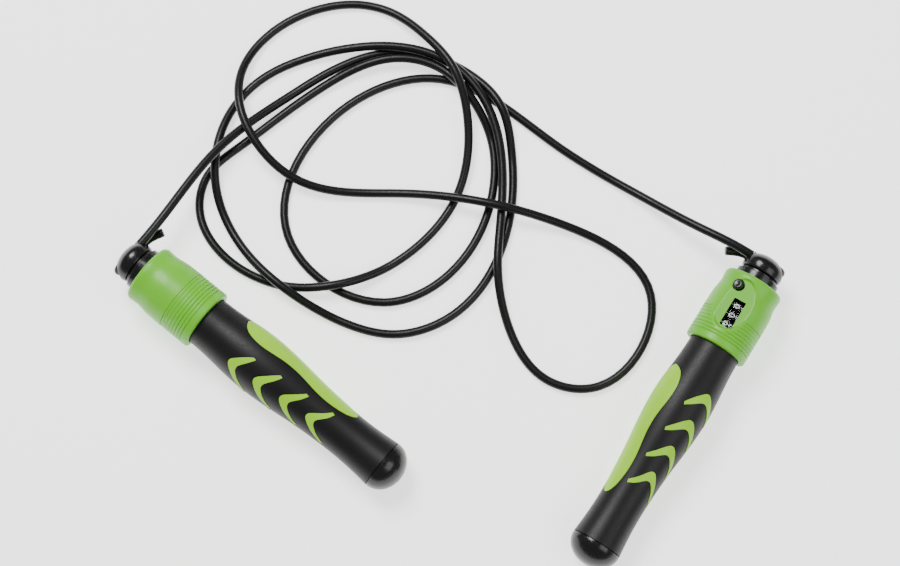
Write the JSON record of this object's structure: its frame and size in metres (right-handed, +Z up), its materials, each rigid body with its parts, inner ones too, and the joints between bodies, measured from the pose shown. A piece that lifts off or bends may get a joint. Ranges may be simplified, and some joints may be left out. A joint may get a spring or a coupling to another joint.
{
  "type": "jump rope",
  "caption": "Jump rope with two swivelling two-colour grip handles, a round plastic cord lying in loose loops, and a mechanical turn counter with reset button.",
  "frame": {"origin": "centre of the footprint of the two handles, on the surface that the rope lies on", "axes": "+Z up, +X along the longer side of the area that the two handles cover, from the plain handle to the counter handle"},
  "size_m": [0.3709, 0.3225, 0.0369],
  "materials": {
    "counter_frame": "satin",
    "drive_gear": "satin",
    "frame_screw_1": "machined",
    "frame_screw_2": "machined",
    "hundreds_pinion": "satin",
    "hundreds_wheel": "satin",
    "jump_cord": "glossy",
    "left_bearing_carrier": "satin",
    "left_collar": "satin",
    "left_cord_end": "glossy",
    "left_end_cap": "glossy",
    "left_grip_core": "satin",
    "left_grip_sleeve": "satin",
    "left_knob": "glossy",
    "left_neck_bush": "glossy",
    "left_retaining_clip": "machined",
    "left_swivel_pin": "machined",
    "left_thrust_washer": "satin",
    "pinion_axle": "machined",
    "reset_button": "glossy",
    "reset_lever": "satin",
    "reset_lever_pin": "machined",
    "reset_spring": "machined",
    "right_collar": "satin",
    "right_cord_end": "glossy",
    "right_end_cap": "glossy",
    "right_grip_core": "satin",
    "right_grip_sleeve": "satin",
    "right_knob": "glossy",
    "right_neck_bush": "glossy",
    "right_retaining_clip": "machined",
    "right_swivel_pin": "machined",
    "right_thrust_washer": "satin",
    "tens_pinion": "satin",
    "tens_wheel": "satin",
    "units_pinion": "satin",
    "units_wheel": "satin",
    "wheel_axle": "machined",
    "window_lens": "clear"
  },
  "bodies": {
    "rope": {"jump_cord": "jump_cord", "left_cord_end": "left_cord_end", "right_cord_end": "right_cord_end", "left_knob": "left_knob", "right_knob": "right_knob", "left_swivel_pin": "left_swivel_pin", "right_swivel_pin": "right_swivel_pin", "left_thrust_washer": "left_thrust_washer", "right_thrust_washer": "right_thrust_washer", "left_retaining_clip": "left_retaining_clip", "right_retaining_clip": "right_retaining_clip", "drive_gear": "drive_gear"},
    "left_handle": {"left_neck_bush": "left_neck_bush", "left_collar": "left_collar", "left_bearing_carrier": "left_bearing_carrier", "left_grip_core": "left_grip_core", "left_grip_sleeve": "left_grip_sleeve", "left_end_cap": "left_end_cap"},
    "right_handle": {"right_neck_bush": "right_neck_bush", "right_collar": "right_collar", "counter_frame": "counter_frame", "right_grip_core": "right_grip_core", "right_grip_sleeve": "right_grip_sleeve", "right_end_cap": "right_end_cap", "window_lens": "window_lens", "wheel_axle": "wheel_axle", "pinion_axle": "pinion_axle", "reset_lever_pin": "reset_lever_pin", "frame_screw_1": "frame_screw_1", "frame_screw_2": "frame_screw_2", "reset_spring": "reset_spring"},
    "reset_button_body": {"reset_button": "reset_button"},
    "reset_lever_body": {"reset_lever": "reset_lever"},
    "units_pinion_body": {"units_pinion": "units_pinion"},
    "units_wheel_body": {"units_wheel": "units_wheel"},
    "tens_pinion_body": {"tens_pinion": "tens_pinion"},
    "tens_wheel_body": {"tens_wheel": "tens_wheel"},
    "hundreds_pinion_body": {"hundreds_pinion": "hundreds_pinion"},
    "hundreds_wheel_body": {"hundreds_wheel": "hundreds_wheel"}
  },
  "joints": [
    {"name": "left_swivel", "type": "hinge", "parent": "rope", "child": "left_handle", "pos_m": [-0.1671, 0.0735, 0.01942], "axis": [0.7757, -0.6304, -0.0297], "continuous": true},
    {"name": "right_swivel", "type": "hinge", "parent": "rope", "child": "right_handle", "pos_m": [0.1683, 0.0673, 0.01942], "axis": [-0.5267, -0.8495, -0.0297], "continuous": true},
    {"name": "units_pinion_spin", "type": "hinge", "parent": "right_handle", "child": "units_pinion_body", "pos_m": [0.16419, 0.0486, 0.02116], "axis": [-0.5267, -0.8495, -0.0297], "continuous": true},
    {"name": "units_wheel_spin", "type": "hinge", "parent": "right_handle", "child": "units_wheel_body", "pos_m": [0.15708, 0.05051, 0.02539], "axis": [-0.5267, -0.8495, -0.0297], "continuous": true},
    {"name": "tens_pinion_spin", "type": "hinge", "parent": "right_handle", "child": "tens_pinion_body", "pos_m": [0.16419, 0.0486, 0.02116], "axis": [-0.5267, -0.8495, -0.0297], "continuous": true},
    {"name": "tens_wheel_spin", "type": "hinge", "parent": "right_handle", "child": "tens_wheel_body", "pos_m": [0.15708, 0.05051, 0.02539], "axis": [-0.5267, -0.8495, -0.0297], "continuous": true},
    {"name": "hundreds_pinion_spin", "type": "hinge", "parent": "right_handle", "child": "hundreds_pinion_body", "pos_m": [0.16419, 0.0486, 0.02116], "axis": [-0.5267, -0.8495, -0.0297], "continuous": true},
    {"name": "hundreds_wheel_spin", "type": "hinge", "parent": "right_handle", "child": "hundreds_wheel_body", "pos_m": [0.15708, 0.05051, 0.02539], "axis": [-0.5267, -0.8495, -0.0297], "continuous": true},
    {"name": "reset_press", "type": "slide", "parent": "right_handle", "child": "reset_button_body", "axis": [-0.3733, 0.1999, 0.9059], "range_m": [-0.00125, 0], "stiffness_N_per_m": 400, "springref_m": 0.0015, "deforming": ["reset_spring"]},
    {"name": "reset_tip", "type": "hinge", "parent": "right_handle", "child": "reset_lever_body", "pos_m": [0.14911, 0.0557, 0.01826], "axis": [-0.5267, -0.8495, -0.0297], "range_deg": [-8.5, 0.5]}
  ],
  "couplings": [
    {"joint": "units_pinion_spin", "follows": "right_swivel", "ratio": 0.2},
    {"joint": "units_wheel_spin", "follows": "right_swivel", "ratio": -0.1},
    {"joint": "tens_pinion_spin", "follows": "right_swivel", "ratio": 0.02},
    {"joint": "tens_wheel_spin", "follows": "right_swivel", "ratio": -0.01},
    {"joint": "hundreds_pinion_spin", "follows": "right_swivel", "ratio": 0.002},
    {"joint": "hundreds_wheel_spin", "follows": "right_swivel", "ratio": -0.001},
    {"joint": "reset_tip", "follows": "reset_press", "rad_per_m": 105.5}
  ]
}
